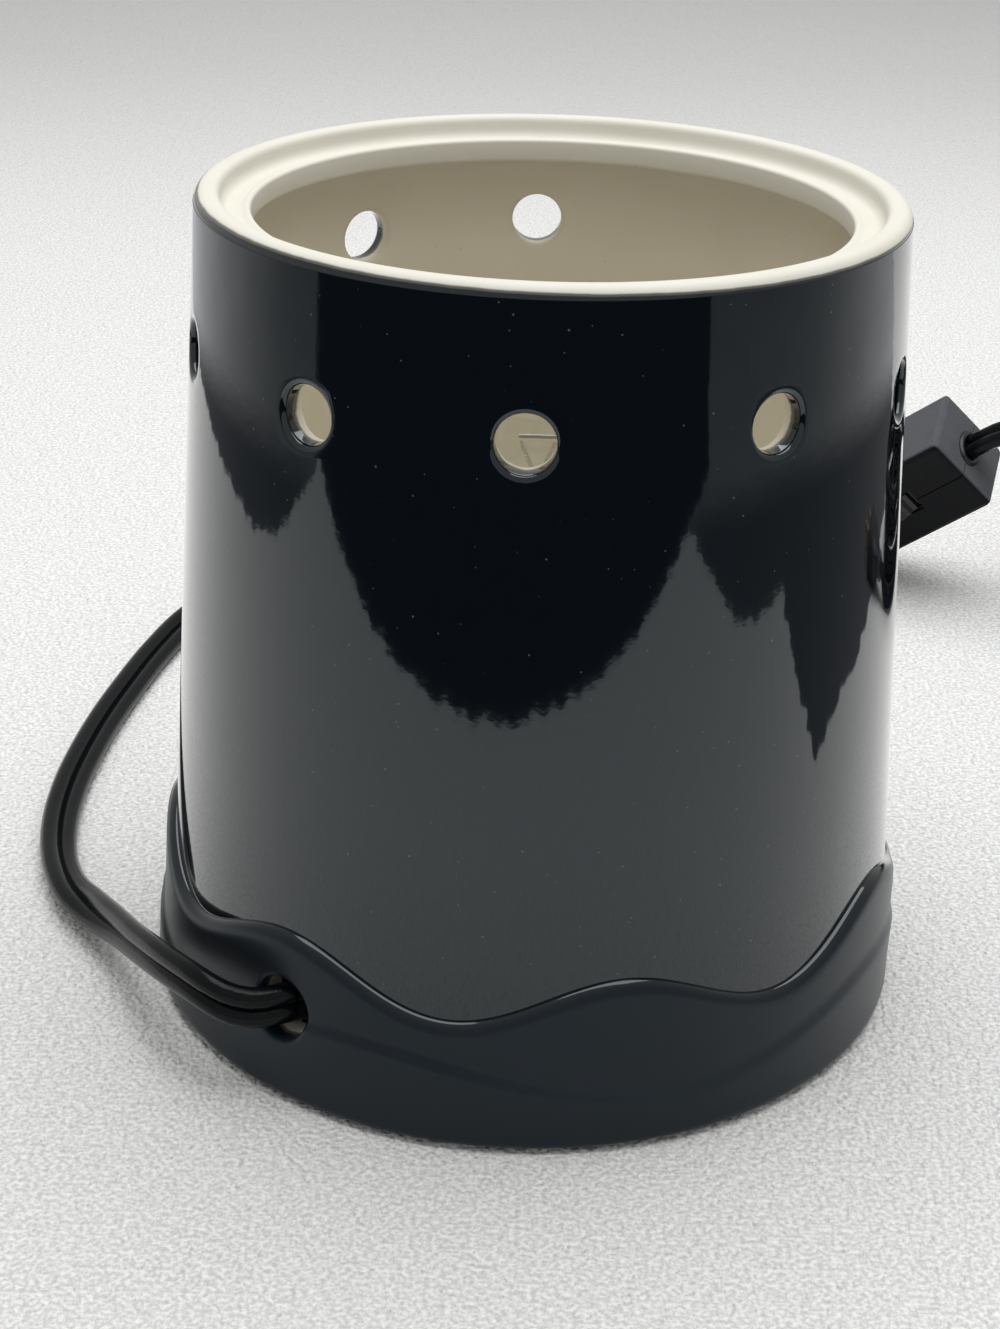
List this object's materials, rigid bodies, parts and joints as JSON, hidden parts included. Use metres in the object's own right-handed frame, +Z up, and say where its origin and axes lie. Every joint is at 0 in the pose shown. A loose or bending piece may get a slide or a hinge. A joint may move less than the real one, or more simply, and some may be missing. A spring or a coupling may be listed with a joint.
{
  "type": "wax warmer",
  "caption": "Tapered glazed ceramic wax warmer with a stepped rim for a dish, round air holes, a clear bulb inside and a flat cord with an in-line switch and plug.",
  "frame": {"origin": "centre of the base, on the surface that the rubber feet stand on", "axes": "+Z up along the shell's axis, -Y to the front, +X to the right as seen from the front"},
  "size_m": [0.365, 0.2902, 0.1388],
  "materials": {
    "black_glaze": "gloss black glaze outside, bare cream ceramic on the rim and inside, satin black on the raised band",
    "black_plastic": "moulded black cover",
    "zinc_steel": "zinc plated",
    "foot_rubber": "matt rubber pads",
    "brass": "bright stamped brass",
    "phenolic": "moulded phenolic",
    "clear_glass": "clear blown glass",
    "nickel_wire": "drawn nickel and tungsten wire",
    "nylon": "natural nylon",
    "cord_vinyl": "satin black vinyl, two cores with a groove between",
    "switch_plastic": "satin black moulding",
    "tie_plastic": "black plastic tie",
    "plug_vinyl": "satin black moulded vinyl"
  },
  "bodies": {
    "warmer": {"ceramic_shell": "black_glaze", "bottom_cover": "black_plastic", "cover_screw_1": "zinc_steel", "cover_screw_2": "zinc_steel", "rubber_foot_1": "foot_rubber", "rubber_foot_2": "foot_rubber", "rubber_foot_3": "foot_rubber", "rubber_foot_4": "foot_rubber", "crossbar": "zinc_steel", "threaded_nipple": "brass", "lock_washer": "zinc_steel", "nipple_nut": "brass", "socket_cap": "zinc_steel", "socket_body": "phenolic", "socket_screw_shell": "brass", "socket_centre_contact": "brass", "cord_clamp": "nylon", "cord_clamp_screw_1": "zinc_steel", "cord_clamp_screw_2": "zinc_steel", "cord_inside": "cord_vinyl", "live_lead": "cord_vinyl", "neutral_lead": "cord_vinyl", "cord_to_switch": "cord_vinyl", "switch_upper_half": "switch_plastic", "switch_lower_half": "switch_plastic", "switch_axle": "zinc_steel", "switch_contact_1": "brass", "switch_contact_2": "brass", "switch_screw_1": "zinc_steel", "switch_screw_2": "zinc_steel", "cord_to_coil": "cord_vinyl", "cord_coil": "cord_vinyl", "coil_tie": "tie_plastic", "cord_to_plug": "cord_vinyl", "plug_body": "plug_vinyl", "plug_blade_wide": "brass", "plug_blade_narrow": "brass"},
    "bulb": {"bulb_glass": "clear_glass", "bulb_screw_cap": "brass", "bulb_insulator": "phenolic", "bulb_centre_contact": "nickel_wire", "bulb_stem": "clear_glass", "bulb_lead_wire_1": "nickel_wire", "bulb_lead_wire_2": "nickel_wire", "bulb_filament": "nickel_wire"},
    "thumb_wheel": {"switch_wheel": "switch_plastic"}
  },
  "joints": [
    {"name": "bulb_lift", "type": "slide", "parent": "warmer", "child": "bulb", "axis": [0, 0, 1], "range_m": [0, 0.11]},
    {"name": "thumb_wheel_turn", "type": "hinge", "parent": "warmer", "child": "thumb_wheel", "pos_m": [0.08931, 0.17207, 0.0238], "axis": [-0.7132, -0.0852, 0.6958], "continuous": true}
  ]
}
